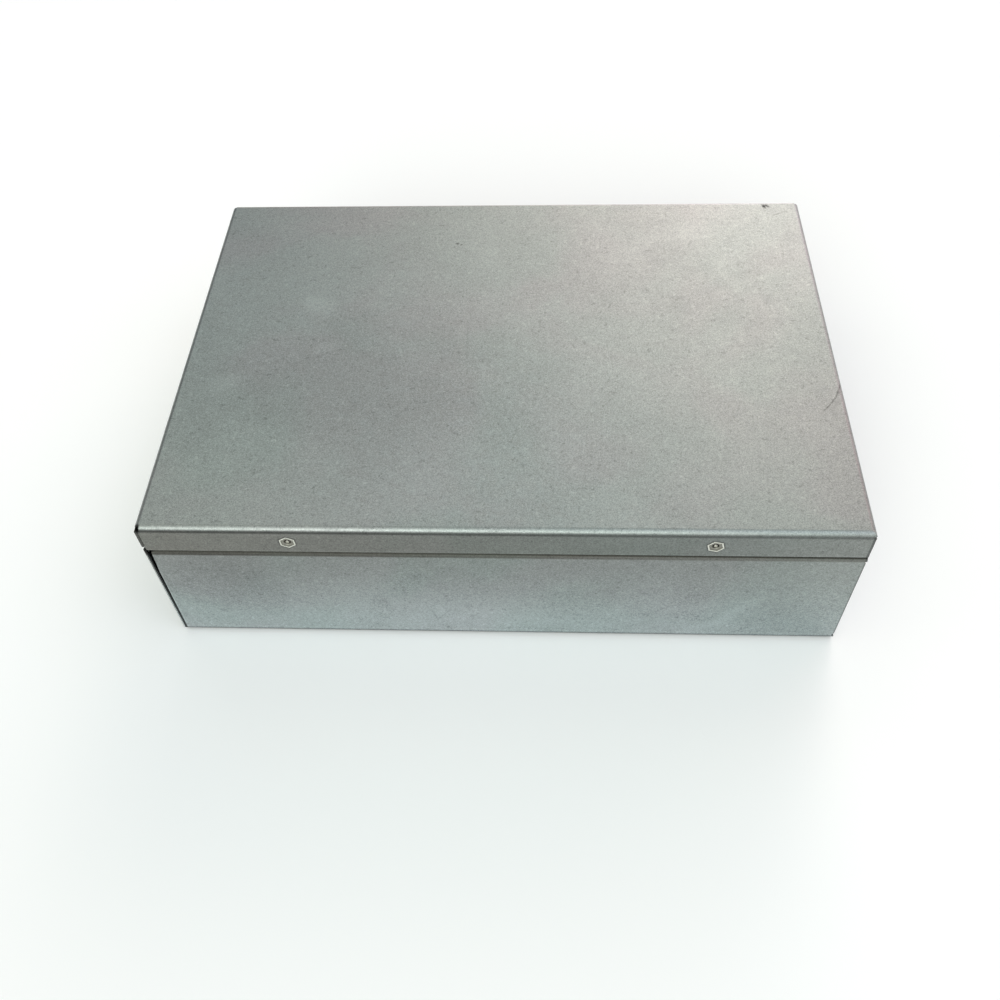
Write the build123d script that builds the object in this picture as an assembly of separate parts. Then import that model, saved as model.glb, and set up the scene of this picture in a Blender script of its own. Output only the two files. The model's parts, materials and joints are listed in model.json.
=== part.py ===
from build123d import *
import os
import math

# Electrical junction box: a folded galvanised sheet-steel box lying on its back
# plate, with a full-face folded cover hinged on two concealed hinges.
# Frame: origin at the middle of the back plate's outer face, +Z out of the box
# towards the cover, +X to the right, -Y the long side that carries the hinges.
# All lengths in millimetres.

# ---- driving dimensions -------------------------------------------------
W = 400.0            # overall width of sheet work, X
D = 285.0            # overall depth of sheet work, Y
H = 109.0            # overall height, Z
T = 1.5              # sheet thickness
RO = 3.4             # outside bend radius
RI = RO - T          # inside bend radius
LIP = 21.0           # depth of the cover's folded lips
SIDE_LIP_SHORT = 3.0 # the two side lips are cut this much shorter
GAP = 1.0            # shadow gap between cover lip and body
SEAM = 0.30          # cut clearance at the folded corners
EDGE_IN = 0.4        # front right corner: the front sheet stops this far inside the side face
# front left seam: the gap beside the side wall's edge, as (height, gap)
SEAM_OPEN = [(3.4, 0.40), (44.0, 0.90), (67.0, 1.20), (74.5, 1.80), (83.6, 2.10)]
EAR_TOP = 88.4       # top of the left side wall at its front end
BR_RO = 2.2          # outside bend radius of the closing brackets

ZT = H - LIP - GAP   # top of the body's flange
ZL = H - LIP         # lower edge of the front and rear cover lips

FLANGE_F = 21.7      # width of the body's front flange
RETURN_F = 14.0      # height of the front flange's return
FLANGE_R = 15.0      # width of the body's rear flange
FLANGE_S = 15.0      # width of the body's side flanges

FIX_X, FIX_Y = 340.0, 210.0   # wall fixing hole spacings
FIX_R = 3.5                   # wall fixing hole radius

FAST_X = 116.7       # hinge and closing screw positions, +/- X
FAST_Z = H - 12.2    # their height
NUT_AF = 8.5         # across flats of the flush hexagon nuts
NUT_TURN_L = 3.0     # how the left nut is turned, degrees
NUT_TURN_R = 14.0    # how the right nut is turned, degrees

HINGE_A = 4.6        # hinge axis behind the lip's outer face
HINGE_B = 16.0       # hinge axis above the lip's lower edge
HINGE_Y = -D / 2 + HINGE_A
HINGE_Z = ZL + HINGE_B
HINGE_T = 1.2        # hinge strip thickness
PIN_R = 1.5          # hinge pin radius
KN_RUN = 1.55        # bore of the moving knuckle
KN_FIX = 1.5         # bore of the fixed knuckles
KN_RO = 2.75         # outside radius of the knuckles
LEAF_W = 24.0        # cover leaf width
PRONG_W = 10.0       # width of each fork prong
HINGE_SIDE = 0.5     # side play between leaf and prongs
LEG_Y = 17.1         # fork leg, front face, behind the axis

TAB_Y = D / 2 - 2.0  # outer face of the closing brackets' upstand
TAB_TOP = 104.0
SLOT_R = 2.8         # half width of the upstand's open slot

RAIL_Z = T + 10.0    # underside of the terminal rail
RAIL_L = 300.0
RAIL_H = 7.5
BLOCK_W = 6.1        # terminal block thickness
BLOCK_P = 6.2        # terminal block pitch
N_BLOCKS = 12

STUD_X, STUD_Y = -171.0, 0.0          # body earth stud
CSTUD_X, CSTUD_Y = -178.0, 118.0      # cover earth stud

os.makedirs("parts", exist_ok=True)


# ---- helpers --------------------------------------------------------------
def box(x0, x1, y0, y1, z0, z1):
    return Pos((x0 + x1) / 2, (y0 + y1) / 2, (z0 + z1) / 2) * Box(x1 - x0, y1 - y0, z1 - z0)


def cyl_x(x0, x1, y, z, r):
    return Pos((x0 + x1) / 2, y, z) * Rot(0, 90, 0) * Cylinder(r, x1 - x0)


def cyl_y(y0, y1, x, z, r):
    return Pos(x, (y0 + y1) / 2, z) * Rot(90, 0, 0) * Cylinder(r, y1 - y0)


def cyl_z(z0, z1, x, y, r):
    return Pos(x, y, (z0 + z1) / 2) * Cylinder(r, z1 - z0)


def bend_x(x0, x1, cy, cz, sy, sz, ro=RO, ri=RI):
    # quarter tube along X, centre line (cy, cz), in the quadrant (sy, sz)
    t = cyl_x(x0, x1, cy, cz, ro) - cyl_x(x0 - 1, x1 + 1, cy, cz, ri)
    ya, yb = sorted((cy, cy + sy * ro))
    za, zb = sorted((cz, cz + sz * ro))
    return t & box(x0, x1, ya, yb, za, zb)


def bend_y(y0, y1, cx, cz, sx, sz, ro=RO, ri=RI):
    t = cyl_y(y0, y1, cx, cz, ro) - cyl_y(y0 - 1, y1 + 1, cx, cz, ri)
    xa, xb = sorted((cx, cx + sx * ro))
    za, zb = sorted((cz, cz + sz * ro))
    return t & box(xa, xb, y0, y1, za, zb)


def prism_y(pts, y0, y1):
    # polygon given as (x, z), from y0 to y1
    f = Face(Wire.make_polygon([Vector(x, y0, z) for x, z in pts], close=True))
    s = extrude(f, amount=y1 - y0, dir=(0, 1, 0))
    return s


def prism_x(pts, x0, x1):
    # polygon given as (y, z), from x0 to x1
    f = Face(Wire.make_polygon([Vector(x0, y, z) for y, z in pts], close=True))
    return extrude(f, amount=x1 - x0, dir=(1, 0, 0))


def hex_y(y0, y1, x, z, af, turn=0.0):
    # hexagon prism along Y, one corner up when turn is 0
    rc = af / math.sqrt(3)
    pts = []
    for k in range(6):
        a = math.radians(90 + turn + 60 * k)
        pts.append((x + rc * math.cos(a), z + rc * math.sin(a)))
    return prism_y(pts, y0, y1)


def hex_z(z0, z1, x, y, af, turn=0.0):
    rc = af / math.sqrt(3)
    pts = [Vector(x + rc * math.cos(math.radians(turn + 60 * k)),
                  y + rc * math.sin(math.radians(turn + 60 * k)), z0) for k in range(6)]
    return extrude(Face(Wire.make_polygon(pts, close=True)), amount=z1 - z0, dir=(0, 0, 1))


def nut_z(z0, x, y, af, h, bore, turn=0.0):
    # hexagon nut with both ends chamfered at 30 degrees
    n = hex_z(z0, z0 + h, x, y, af, turn)
    rc = af / math.sqrt(3)
    c = (rc - af / 2) * math.tan(math.radians(30)) + 0.02
    prof = [(0, 0), (af / 2 - 0.02, 0), (rc + 0.2, c + 0.13), (rc + 0.2, h - c - 0.13), (af / 2 - 0.02, h), (0, h)]
    f = Face(Wire.make_polygon([Vector(r, 0, z) for r, z in prof], close=True))
    lens = Pos(x, y, z0) * revolve(f, Axis.Z, 360)
    return (n & lens) - cyl_z(z0 - 1, z0 + h + 1, x, y, bore)


def nut_y(y0, x, z, af, h, bore, turn=0.0):
    # the same nut along +Y, starting at y0
    n = nut_z(0, 0, 0, af, h, bore, turn)
    return Pos(x, y0, z) * Rot(-90, 0, 0) * n


def ring_z(z0, z1, x, y, ro, ri):
    return cyl_z(z0, z1, x, y, ro) - cyl_z(z0 - 1, z1 + 1, x, y, ri)


def ring_y(y0, y1, x, z, ro, ri):
    return cyl_y(y0, y1, x, z, ro) - cyl_y(y0 - 1, y1 + 1, x, z, ri)


def pan_screw(r, head_r, head_h, length, cross=True, end_cham=0.5):
    # screw along -Z, seat at z = 0, domed head above, cross recess
    pts = [(0, -length), (r - end_cham, -length), (r, -length + end_cham), (r, 0), (head_r, 0), (head_r, head_h * 0.45)]
    n = 8
    # dome as part of an ellipse
    for k in range(1, n + 1):
        a = math.radians(90 * k / n)
        pts.append((head_r * (0.42 + 0.58 * math.cos(a)) if k < n else head_r * 0.42,
                    head_h * (0.45 + 0.55 * math.sin(a))))
    pts.append((0, head_h))
    f = Face(Wire.make_polygon([Vector(a, 0, b) for a, b in pts], close=True))
    s = revolve(f, Axis.Z, 360)
    if cross:
        for turn in (0, 90):
            s -= Rot(0, 0, turn) * Pos(0, 0, head_h) * Box(head_r * 0.98, r * 0.42, head_h * 1.15)
        s -= Pos(0, 0, head_h) * Cylinder(r * 0.42, head_h * 1.25)
    return s


def slot_screw(r, head_r, head_h, length):
    # cheese-head screw along -Z, seat at z = 0, one straight slot
    s = Pos(0, 0, head_h / 2) * Cylinder(head_r, head_h)
    s = chamfer(s.edges().group_by(Axis.Z)[-1], 0.25)
    s += Pos(0, 0, -length / 2) * Cylinder(r, length)
    s -= Pos(0, 0, head_h) * Box(head_r * 2.2, max(0.6, head_r * 0.24), head_h * 0.9)
    return s


def threaded(r, z0, z1, x, y, pitch=1.0, depth=0.32):
    # stud with parallel thread grooves, chamfered end at z1
    pts = [(0, z0)]
    z = z0
    pts.append((r, z0))
    z += 0.6
    pts.append((r, z))
    while z + pitch < z1 - 0.6:
        pts.append((r - depth, z + pitch * 0.45))
        pts.append((r - depth, z + pitch * 0.55))
        pts.append((r, z + pitch * 0.95))
        pts.append((r, z + pitch))
        z += pitch
    pts.append((r, z1 - 0.6))
    pts.append((r - 0.6, z1))
    pts.append((0, z1))
    f = Face(Wire.make_polygon([Vector(a, 0, b) for a, b in pts], close=True))
    return Pos(x, y, 0) * revolve(f, Axis.Z, 360)


def group(items):
    out = []
    for i in items:
        out.extend(i.solids())
    return Compound(out)


def one(shape):
    s = shape.solids()
    if len(s) != 1:
        raise ValueError("expected one solid, got %d" % len(s))
    return s[0]


def save(name, shape):
    shape.label = name
    export_step(shape, "parts/%s.step" % name)


# ---- body shell -------------------------------------------------------------
hx, hy = W / 2, D / 2
base = box(-hx + RO, hx - RO, -hy + RO, hy - RO, 0, T)
body = base
# side walls, bottom and top bends, side flanges
for s in (-1, 1):
    x_in, x_out = sorted((s * (hx - T), s * hx))
    # the left wall's end shows at the front, the right one stops behind the front wall
    y_end = -hy if s < 0 else -hy + T + SEAM
    body += box(x_in, x_out, y_end, hy, RO, ZT - RO - 0.6)
    body += box(x_in, x_out, -hy + RO, hy - RO, ZT - RO - 0.7, ZT - RO)
    side_bend = bend_y(-hy if s < 0 else -hy + 1.6, hy - 1.6, s * (hx - RO), RO, s, -1)
    if s < 0:
        # its front end follows the front bend's outer radius
        side_bend &= cyl_x(-hx - 1, -hx + RO + 1, -hy + RO, RO, RO) + box(-hx - 1, -hx + RO + 1, -hy + RO - 0.01, hy, -1, RO + 1)
    body += side_bend
    body += bend_y(-hy + RO, hy - RO, s * (hx - RO), ZT - RO, s, 1)
    xa, xb = sorted((s * (hx - FLANGE_S), s * (hx - RO)))
    body += box(xa, xb, -hy + FLANGE_F + 0.5, hy - FLANGE_R - 0.5, ZT - T, ZT)
# the base plate reaches under the side bends' full length
body += box(-hx + RO - 0.01, -hx + RO + 0.6, -hy + RO - 0.6, -hy + RO + 0.01, 0, T)
# a short ear at the top of the left wall's front end
body += box(-hx, -hx + T, -hy, -hy + 1.6, ZT - RO - 0.7, EAR_TOP)
# front wall, its left edge cut back, so the seam there is open; on the right it
# runs out over the side wall's end, with a relief notch above the bottom bend
xl_t = -hx + T + SEAM_OPEN[-1][1]
xr = hx - T - SEAM
xe_r = hx - EDGE_IN
left_edge = [(-hx + T + gap, z) for z, gap in SEAM_OPEN]
body += prism_y(list(reversed(left_edge)) + [(xe_r - 1.1, RO), (xe_r - 1.1, RO + 1.8), (xe_r, RO + 2.6),
                                             (xe_r, ZT - RO - 1.6), (xe_r - 0.5, ZT - RO - 0.9), (xe_r - 0.5, ZT - RO)],
                -hy, -hy + T)
left_corner = bend_x(-hx + T + SEAM_OPEN[0][1], -hx + RO + 0.7, -hy + RO, RO, -1, -1) & (
    cyl_y(-hy - 1, -hy + RO + 1, -hx + RO, RO, RO) + box(-hx + RO - 0.01, -hx + RO + 1, -hy - 1, -hy + RO + 1, -1, RO + 1))
body += left_corner
body += bend_x(-hx + RO + 0.6, hx - 0.2, -hy + RO, RO, -1, -1)
body -= box(hx - 2.6, hx + 1, -hy - 1, -hy + 1.55, -1, 2.4) - cyl_y(-hy - 2, -hy + 2, hx - 2.6, 2.4, 2.4)
body += bend_x(xl_t, hx, -hy + RO, ZT - RO, -1, 1)
body += box(xl_t, xr, -hy + RO, -hy + FLANGE_F - RO, ZT - T, ZT)
# the front flange's return, which carries the hinge forks
body += bend_x(xl_t + 14.5, xr - 14.5, -hy + FLANGE_F - RO, ZT - RO, 1, 1)
body += box(xl_t + 14.5, xr - 14.5, -hy + FLANGE_F - T, -hy + FLANGE_F, ZT - RETURN_F, ZT - RO)
# rear wall and flange
xr2 = hx - T - SEAM
body += box(-xr2, xr2, hy - T, hy, RO, ZT - RO)
body += bend_x(-hx + RO + 0.4, hx - RO - 0.4, hy - RO, RO, 1, -1)
body += bend_x(-xr2, xr2, hy - RO, ZT - RO, 1, 1)
body += box(-xr2, xr2, hy - FLANGE_R, hy - RO, ZT - T, ZT)

# wall fixing holes
for sx in (-1, 1):
    for sy in (-1, 1):
        body -= cyl_z(-1, T + 1, sx * FIX_X / 2, sy * FIX_Y / 2, FIX_R)
# hinge fork screw holes in the return
for sx in (-1, 1):
    for dx in (-14.0, 14.0):
        body -= cyl_y(-hy + FLANGE_F - T - 1, -hy + FLANGE_F + 1, sx * FAST_X + dx, 79.0, 2.25)
# knock-outs in the two short walls: a ring cut with two webs left standing
KO = [(-72.0, 14.3), (0.0, 11.3), (72.0, 14.3)]
KO_Z = 43.0
for s in (-1, 1):
    for yk, rk in KO:
        ring = cyl_x(s * hx - 3, s * hx + 3, yk, KO_Z, rk) - cyl_x(s * hx - 4, s * hx + 4, yk, KO_Z, rk - 0.6)
        ring -= Pos(s * hx, yk, KO_Z) * Box(10, 2.4, 60)
        body -= ring
# rail pillar seats are plain: the pillars stand on the plate
body_shell = one(body)
save("body_shell", body_shell)

# ---- cover shell ------------------------------------------------------------
cov = box(-hx + RO, hx - RO, -hy + RO, hy - RO, H - T, H)
for s in (-1, 1):
    x_in, x_out = sorted((s * (hx - T), s * hx))
    y_end = -hy if s < 0 else -hy + T + SEAM
    cov += box(x_in, x_out, y_end, hy, ZL + SIDE_LIP_SHORT, H - RO)
    cov += bend_y(-hy + RO - 0.6, hy - RO + 0.6, s * (hx - RO), H - RO, s, 1)
xf = hx - T - SEAM
for s in (-1, 1):
    y_in, y_out = sorted((s * (hy - T), s * hy))
    x_far = hx - EDGE_IN if s < 0 else xf
    cov += box(-xf, x_far, y_in, y_out, ZL, H - RO)
    cov += bend_x(-hx + RO - 0.5, hx - RO + 0.5, s * (hy - RO), H - RO, s, 1)
# front right corner: the front bend runs on and is trimmed to the side bend's radius
cov += bend_x(hx - RO + 0.4, hx - EDGE_IN, -hy + RO, H - RO, -1, 1) & cyl_y(-hy - 1, -hy + RO + 1, hx - RO, H - RO, RO)
cov -= cyl_y(-hy - 1, -hy + 2.6, hx - 0.75, H - 2.7, 0.7)
# corner relief holes
for sx, sy in ((-1, -1), (-1, 1), (1, 1)):
    cov -= cyl_z(H - 4.4, H + 1, sx * (hx - 1.75), sy * (hy - 1.55), 1.15)
# flush hexagon seats in the front lip, with a fine groove at the outer face
for s, turn in ((-1, NUT_TURN_L), (1, NUT_TURN_R)):
    cov -= hex_y(-hy - 1, -hy + T + 1, s * FAST_X, FAST_Z, NUT_AF, turn)
    cov -= hex_y(-hy - 1, -hy + 0.3, s * FAST_X, FAST_Z, NUT_AF + 0.5, turn)
    cov -= cyl_y(hy - T - 1, hy + 1, s * FAST_X, FAST_Z, 2.25)
cover_shell = one(cov)
save("cover_shell", cover_shell)

# flush clinch nuts: hexagon, flush inside, with a thin raised rim outside
nuts = []
for s, turn in ((-1, NUT_TURN_L), (1, NUT_TURN_R)):
    n = hex_y(-hy - 0.12, -hy + T, s * FAST_X, FAST_Z, NUT_AF, turn)
    n -= hex_y(-hy - 1, -hy + 0.22, s * FAST_X, FAST_Z, NUT_AF - 1.5, turn)
    n -= cyl_y(-hy - 1, -hy + T + 1, s * FAST_X, FAST_Z, 1.85)
    n -= Pos(s * FAST_X, -hy + 0.42, FAST_Z) * Rot(90, 0, 0) * Cone(1.85, 2.35, 0.42)
    nuts.append(n)
save("hinge_flush_nuts", group(nuts))

# ---- concealed hinges ---------------------------------------------------------
leaf_screws, leaf_washers, fork_screws, fork_nuts = [], [], [], []
for s, side in ((-1, "left"), (1, "right")):
    cx = s * FAST_X
    x0, x1 = cx - LEAF_W / 2, cx + LEAF_W / 2
    back = -hy + T                      # the lip's inner face
    # cover leaf: flat strip against the lip, rolled into one knuckle
    leaf = box(x0, x1, back, back + HINGE_T, ZL + 1.0, HINGE_Z)
    ve = [e for e in leaf.edges().filter_by(Axis.Y) if e.center().Z < ZL + 2]
    leaf = fillet(ve, 3.0)
    leaf += cyl_x(x0, x1, HINGE_Y, HINGE_Z, KN_RO)
    leaf -= cyl_x(x0 - 1, x1 + 1, HINGE_Y, HINGE_Z, KN_RUN)
    leaf -= cyl_y(back - 1, back + HINGE_T + 0.01, cx, FAST_Z, 2.25)
    save("hinge_cover_leaf_%s" % side, one(leaf))
    # screw and washer from inside, into the flush nut
    leaf_washers.append(ring_y(back + HINGE_T, back + HINGE_T + 0.8, cx, FAST_Z, 4.5, 2.15))
    seat = back + HINGE_T + 0.8
    scr = pan_screw(1.85, 4.0, 2.4, seat - (-hy + 0.32), end_cham=0.95)
    leaf_screws.append(Pos(cx, seat, FAST_Z) * Rot(-90, 0, 0) * scr)
    # fork: two prongs with a knuckle each, over the lip's path, down to the return
    px0, px1 = x0 - HINGE_SIDE - PRONG_W, x1 + HINGE_SIDE + PRONG_W
    yl = HINGE_Y + LEG_Y
    ro = 2.4
    arm = box(px0, px1, HINGE_Y, yl + HINGE_T - ro, HINGE_Z + KN_RO - HINGE_T, HINGE_Z + KN_RO)
    arm += bend_x(px0, px1, yl + HINGE_T - ro, HINGE_Z + KN_RO - ro, 1, 1, ro, ro - HINGE_T)
    arm += box(px0, px1, yl, yl + HINGE_T, 73.6, HINGE_Z + KN_RO - ro)
    arm += cyl_x(px0, px1, HINGE_Y, HINGE_Z, KN_RO)
    arm -= cyl_x(px0 - 1, px1 + 1, HINGE_Y, HINGE_Z, KN_FIX)
    arm -= box(x0 - HINGE_SIDE, x1 + HINGE_SIDE, HINGE_Y - 5, yl - 0.0, HINGE_Z - 5, HINGE_Z + 5)
    arm -= box(x0 - HINGE_SIDE, x1 + HINGE_SIDE, yl - 0.1, yl + 3, HINGE_Z - 4.0, HINGE_Z + 5)
    for dx in (-14.0, 14.0):
        arm -= cyl_y(yl - 1, yl + HINGE_T + 1, cx + dx, 79.0, 2.25)
    save("hinge_fork_%s" % side, one(arm))
    for dx in (-14.0, 14.0):
        sy = yl + HINGE_T
        fs = pan_screw(2.0, 4.0, 2.4, 9.0)
        fork_screws.append(Pos(cx + dx, sy, 79.0) * Rot(-90, 0, 0) * fs)
        fork_nuts.append(nut_y(yl - T - 3.2, cx + dx, 79.0, 7.0, 3.2, 2.0, 30))
    # pin with a small head at its outer end
    pin = cyl_x(px0 - 0.2, px1 + 0.2, HINGE_Y, HINGE_Z, PIN_R)
    hx0 = px1 if s > 0 else px0 - 0.9
    pin += cyl_x(hx0, hx0 + 0.9, HINGE_Y, HINGE_Z, 2.3)
    save("hinge_pin_%s" % side, one(pin))
save("hinge_leaf_screws", group(leaf_screws))
save("hinge_leaf_washers", group(leaf_washers))
save("hinge_fork_screws", group(fork_screws))
save("hinge_fork_nuts", group(fork_nuts))

# ---- closing brackets, screws and tee nuts at the rear -------------------------
brackets, tees = [], []
for s, side in ((-1, "left"), (1, "right")):
    cx = s * FAST_X
    w = 14.0
    br = box(cx - w, cx + w, TAB_Y - T, TAB_Y, ZT + BR_RO, TAB_TOP)
    tops = [e for e in br.edges().filter_by(Axis.Y) if e.center().Z > TAB_TOP - 0.1]
    br = fillet(tops, 3.0)
    br += bend_x(cx - w, cx + w, TAB_Y - BR_RO, ZT + BR_RO, 1, -1, BR_RO, BR_RO - T)
    br += box(cx - w, cx + w, hy - FLANGE_R + 1.0, TAB_Y - BR_RO, ZT, ZT + T)
    br -= cyl_y(TAB_Y - T - 1, TAB_Y + 1, cx, FAST_Z, SLOT_R)
    br -= box(cx - SLOT_R, cx + SLOT_R, TAB_Y - T - 1, TAB_Y + 1, FAST_Z, TAB_TOP + 1)
    # two weld dimples on the foot
    for dx in (-8.0, 8.0):
        br -= Pos(cx + dx, hy - FLANGE_R + 4.6, ZT + T) * Cylinder(1.9, 0.5)
    brackets.append(br)
    # tee nut: plate inside the upstand, boss in its slot
    ty = TAB_Y - T - 0.6
    tee = box(cx - 6.5, cx + 6.5, ty - 2.6, ty, FAST_Z - 4.5, FAST_Z + 4.5)
    tee = chamfer(tee.edges().filter_by(Axis.Y), 0.6)
    tee += box(cx - 2.3, cx + 2.3, ty, ty + 1.5, FAST_Z, FAST_Z + 3.6)
    tee += cyl_y(ty, ty + 1.5, cx, FAST_Z, 2.3)
    tee -= cyl_y(ty - 5, ty + 5, cx, FAST_Z, 2.05)
    tees.append(tee)
    # captive closing screw with its washer, head outside the rear lip
    washer = ring_y(hy + 0.02, hy + 1.02, cx, FAST_Z, 4.75, 2.05)
    save("cover_screw_washer_%s" % side, one(washer))
    scr = pan_screw(2.0, 4.0, 2.6, 11.5)
    save("cover_screw_%s" % side, one(Pos(cx, hy + 1.02, FAST_Z) * Rot(-90, 0, 0) * scr))
save("closing_brackets", group(brackets))
save("cover_tee_nuts", group(tees))

# ---- terminal rail on its pillars ------------------------------------------------
g = 1.0  # rail sheet
rz = RAIL_Z
prof = [(-13.5, rz), (13.5, rz), (13.5, rz + RAIL_H - g), (17.5, rz + RAIL_H - g), (17.5, rz + RAIL_H),
        (12.5, rz + RAIL_H), (12.5, rz + g), (-12.5, rz + g), (-12.5, rz + RAIL_H), (-17.5, rz + RAIL_H),
        (-17.5, rz + RAIL_H - g), (-13.5, rz + RAIL_H - g)]
rail = prism_x(prof, -RAIL_L / 2, RAIL_L / 2)
for k in range(-5, 6):
    cx = 25.0 * k
    rail -= box(cx - 4.4, cx + 4.4, -3.15, 3.15, rz - 1, rz + g + 1)
    rail -= cyl_z(rz - 1, rz + g + 1, cx - 4.4, 0, 3.15)
    rail -= cyl_z(rz - 1, rz + g + 1, cx + 4.4, 0, 3.15)
save("terminal_rail", one(rail))

pillars, rail_screws, rail_washers = [], [], []
for s in (-1, 1):
    px = s * 125.0
    p = hex_z(T, RAIL_Z, px, 0, 10.0, 30) - cyl_z(T + 1.5, RAIL_Z + 1, px, 0, 2.5)
    pillars.append(p)
    rail_washers.append(ring_z(RAIL_Z + g, RAIL_Z + g + 1.0, px, 0, 5.0, 2.65))
    rail_screws.append(Pos(px, 0, RAIL_Z + g + 1.0) * slot_screw(2.5, 4.25, 3.3, 8.0))
save("rail_pillars", group(pillars))
save("rail_screws", group(rail_screws))
save("rail_washers", group(rail_washers))

# ---- terminal blocks -----------------------------------------------------------
zt = RAIL_Z + RAIL_H   # top of the rail


def block_outline(inset=0.0):
    i = inset
    pts = [(-21.0 + i, 4.0), (-21.0 + i, 12.0), (-19.6 + i, 14.0), (-19.6 + i, 25.5), (-15.5 + i, 34.0 - i),
           (-15.5 + i, 37.5 - i), (-8.0 + i, 37.5 - i), (-8.0 + i, 40.0 - i), (8.0 - i, 40.0 - i), (8.0 - i, 37.5 - i),
           (15.5 - i, 37.5 - i), (15.5 - i, 34.0 - i), (19.6 - i, 25.5), (19.6 - i, 14.0), (21.0 - i, 12.0),
           (21.0 - i, 4.0), (19.6, 1.0), (19.6, -3.6), (17.2, -3.6), (16.2, -1.3), (17.9, -1.3), (17.9, 0.0),
           (-17.9, 0.0), (-17.9, -1.3), (-16.2, -1.3), (-17.2, -3.6), (-19.6, -3.6), (-19.6, 1.0)]
    return [(y, z + zt) for y, z in pts]


def terminal(xc, w=BLOCK_W):
    b = prism_x(block_outline(), xc - w / 2, xc + w / 2)
    for sy in (-1, 1):
        # screw shaft from above, and the conductor's entry from the side
        b -= cyl_z(zt + 24.0, zt + 45.0, xc, sy * 12.0, 2.2)
        b -= cyl_z(zt + 17.0, zt + 25.0, xc, sy * 12.0, 1.5)
        b -= cyl_y(*sorted((sy * 9.0, sy * 25.0)), xc, zt + 20.0, 2.1)
        b -= box(xc - 2.25, xc + 2.25, *sorted((sy * 18.2, sy * 22.0)), zt + 16.2, zt + 24.0)
    # marker groove on the ridge
    b -= box(xc - 2.6, xc + 2.6, -5.2, 5.2, zt + 39.2, zt + 41.0)
    return one(b)


x_first = -(N_BLOCKS / 2) * BLOCK_P + BLOCK_P / 2 - 12.0
blocks, clamp_screws, markers = [], [], []
for k in range(N_BLOCKS):
    xc = x_first + k * BLOCK_P
    blocks.append(terminal(xc))
    for sy in (-1, 1):
        scr = slot_screw(1.45, 1.95, 1.9, 9.0)
        clamp_screws.append(Pos(xc, sy * 12.0, zt + 29.0) * scr)
    markers.append(box(xc - 2.5, xc + 2.5, -5.1, 5.1, zt + 39.2, zt + 40.5))
save("terminal_blocks", group(blocks))
save("terminal_markers", group(markers))

x_last = x_first + (N_BLOCKS - 1) * BLOCK_P
# end plate closes the open side of the last block
xe = x_last + BLOCK_P / 2
plate_ = prism_x(block_outline(0.3), xe, xe + 1.5)
save("terminal_end_plate", one(plate_))
# earth terminals: same outline, with a metal foot in real ones
earth = []
for k in range(2):
    xc = xe + 1.5 + 0.1 + BLOCK_W / 2 + k * BLOCK_P
    earth.append(terminal(xc))
    for sy in (-1, 1):
        clamp_screws.append(Pos(xc, sy * 12.0, zt + 29.0) * slot_screw(1.45, 1.95, 1.9, 9.0))
save("earth_terminals", group(earth))
save("terminal_clamp_screws", group(clamp_screws))

# end stops clamp the row on the rail
stops, stop_screws = [], []
for xs in (x_first - BLOCK_P / 2 - 0.1 - 4.75, xe + 1.5 + 0.1 + 2 * BLOCK_P + 4.75):
    pts = [(-20.0, 3.0), (-20.0, 14.0), (-12.0, 20.0), (-12.0, 27.0), (12.0, 27.0), (12.0, 20.0), (20.0, 14.0), (20.0, 3.0),
           (19.6, 1.0), (19.6, -3.6), (17.2, -3.6), (16.2, -1.3), (17.9, -1.3), (17.9, 0.0),
           (-17.9, 0.0), (-17.9, -1.3), (-16.2, -1.3), (-17.2, -3.6), (-19.6, -3.6), (-19.6, 1.0)]
    st = prism_x([(y, z + zt) for y, z in pts], xs - 4.6, xs + 4.6)
    st -= cyl_z(zt + 6.0, zt + 40.0, xs, 0, 3.1)
    stops.append(st)
    stop_screws.append(Pos(xs, 0, zt + 19.0) * slot_screw(1.95, 2.9, 2.4, 12.0))
save("rail_end_stops", group(stops))
save("end_stop_screws", group(stop_screws))

# ---- earth studs -------------------------------------------------------------------
stud = threaded(3.0, T, T + 21.0, STUD_X, STUD_Y)
stud += cyl_z(T, T + 1.2, STUD_X, STUD_Y, 4.2)
save("body_earth_stud", one(stud))
z0 = T + 1.2
save("body_earth_washers", group([ring_z(z0 + 4.8, z0 + 6.4, STUD_X, STUD_Y, 6.0, 3.05),
                                  ring_z(z0 + 6.4, z0 + 8.0, STUD_X, STUD_Y, 6.0, 3.05)]))
save("body_earth_nuts", group([nut_z(z0, STUD_X, STUD_Y, 10.0, 4.8, 3.0, 8),
                               nut_z(z0 + 8.0, STUD_X, STUD_Y, 10.0, 4.8, 3.0, 22)]))

cs = Rot(180, 0, 0) * threaded(3.0, 0.0, 16.0, 0, 0)
cs = Pos(CSTUD_X, CSTUD_Y, H - T) * cs
cs += cyl_z(H - T - 1.2, H - T, CSTUD_X, CSTUD_Y, 4.2)
save("cover_earth_stud", one(cs))
zc = H - T - 1.2
save("cover_earth_washers", group([ring_z(zc - 1.6, zc, CSTUD_X, CSTUD_Y, 6.0, 3.05),
                                   ring_z(zc - 3.2, zc - 1.6, CSTUD_X, CSTUD_Y, 6.0, 3.05)]))
save("cover_earth_nut", one(nut_z(zc - 3.2 - 4.8, CSTUD_X, CSTUD_Y, 10.0, 4.8, 3.0, 15)))

for nm, v in (("body_shell", body_shell), ("cover_shell", cover_shell)):
    print(nm, round(v.volume, 1), v.is_valid)
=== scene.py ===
import bpy, json, math
from mathutils import Vector, Matrix

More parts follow.
